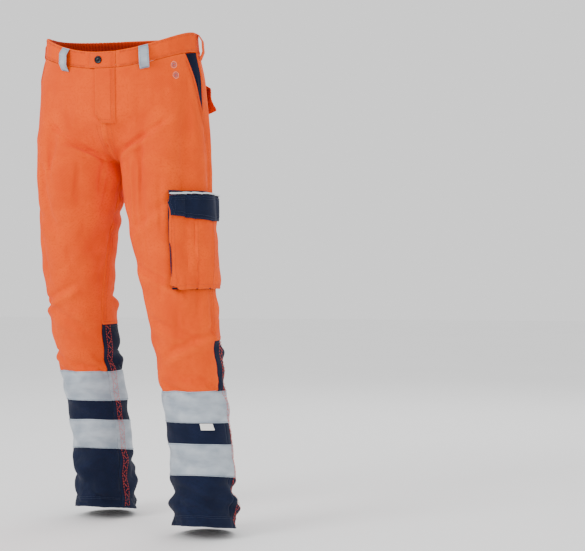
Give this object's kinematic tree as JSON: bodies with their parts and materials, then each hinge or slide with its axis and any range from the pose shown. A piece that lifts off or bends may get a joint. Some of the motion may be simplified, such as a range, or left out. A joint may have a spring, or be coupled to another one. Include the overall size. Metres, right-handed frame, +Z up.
{
  "type": "high-visibility work trousers",
  "caption": "Work trousers with waistband, zip fly, snap, belt loops, slant front pockets, flapped back pockets, one thigh cargo pocket and reflective leg tapes",
  "frame": {"origin": "centre of the waist opening, at the height of the waistband's top edge at the side seams", "axes": "+X is the wearer's left, +Y the wearer's back, +Z up"},
  "size_m": [0.4459, 0.4144, 1.0711],
  "materials": {
    "orange_twill": "fluorescent orange twill",
    "navy_twill": "navy twill",
    "reflective": "silver retroreflective fabric",
    "dark_metal": "darkened metal",
    "label": "woven label",
    "elastic": "woven elastic",
    "hook_loop": "hook and loop",
    "teeth": "moulded zip teeth"
  },
  "bodies": {
    "garment": {"front_panel_left": "orange_twill", "shin_panel_left": "navy_twill", "back_panel_left": "orange_twill", "calf_panel_left": "navy_twill", "upper_tape_left": "reflective", "lower_tape_left": "reflective", "front_pocket_facing_left": "navy_twill", "front_pocket_bag_left": "navy_twill", "back_pocket_left": "orange_twill", "back_loop_tape_left": "hook_loop", "back_flap_stay_left": "orange_twill", "front_panel_right": "orange_twill", "shin_panel_right": "navy_twill", "back_panel_right": "orange_twill", "calf_panel_right": "navy_twill", "upper_tape_right": "reflective", "lower_tape_right": "reflective", "front_pocket_facing_right": "navy_twill", "front_pocket_bag_right": "navy_twill", "back_pocket_right": "orange_twill", "back_loop_tape_right": "hook_loop", "back_flap_stay_right": "orange_twill", "waistband_front_left": "orange_twill", "waistband_front_right": "orange_twill", "waistband_back": "orange_twill", "waist_elastic": "elastic", "waistband_facing_back": "orange_twill", "fly_shield": "navy_twill", "zip_tape_left": "navy_twill", "zip_teeth_left": "teeth", "zip_tape_right": "navy_twill", "zip_teeth_right": "teeth", "zip_bottom_stop": "dark_metal", "snap_stud": "dark_metal", "belt_loop_front_left": "reflective", "belt_loop_side_left": "orange_twill", "belt_loop_front_right": "reflective", "belt_loop_side_right": "orange_twill", "belt_loop_back": "reflective", "cargo_pocket": "orange_twill", "cargo_gusset": "navy_twill", "cargo_flap_stay": "navy_twill", "cargo_piping": "reflective", "cargo_loop_tape": "hook_loop", "tape_tag": "label", "care_label": "label"},
    "fly_door": {"fly_placket": "orange_twill", "waistband_tab": "orange_twill", "snap_cap": "dark_metal", "snap_socket": "dark_metal"},
    "zip_runner": {"zip_slider": "dark_metal"},
    "zip_tab": {"zip_pull": "dark_metal"},
    "cargo_lid": {"cargo_flap": "navy_twill", "cargo_hook_tape": "hook_loop"},
    "back_lid_left": {"back_flap_left": "orange_twill", "back_hook_tape_left": "hook_loop"},
    "back_lid_right": {"back_flap_right": "orange_twill", "back_hook_tape_right": "hook_loop"}
  },
  "joints": [
    {"name": "fly_door_swing", "type": "hinge", "parent": "garment", "child": "fly_door", "pos_m": [0.0294, -0.1194, -0.1], "axis": [0, -0.0422, 0.9991], "range_deg": [0, 75]},
    {"name": "zip_slide", "type": "slide", "parent": "garment", "child": "zip_runner", "axis": [0, 0.0422, -0.9991], "range_m": [0, 0.078]},
    {"name": "zip_pull_swing", "type": "hinge", "parent": "zip_runner", "child": "zip_tab", "pos_m": [0, -0.11364, -0.09361], "axis": [1, 0, 0], "range_deg": [-4, 0]},
    {"name": "cargo_flap_lift", "type": "hinge", "parent": "garment", "child": "cargo_lid", "pos_m": [0.20758, -0.00179, -0.34184], "axis": [-0.1106, -0.9939, 0], "range_deg": [0, 75]},
    {"name": "back_flap_lift_left", "type": "hinge", "parent": "garment", "child": "back_lid_left", "pos_m": [0.12585, 0.13601, -0.10324], "axis": [0.7916, -0.6111, 0], "range_deg": [0, 90]},
    {"name": "back_flap_lift_right", "type": "hinge", "parent": "garment", "child": "back_lid_right", "pos_m": [-0.12585, 0.13601, -0.10324], "axis": [0.7916, 0.6111, 0], "range_deg": [0, 90]}
  ]
}
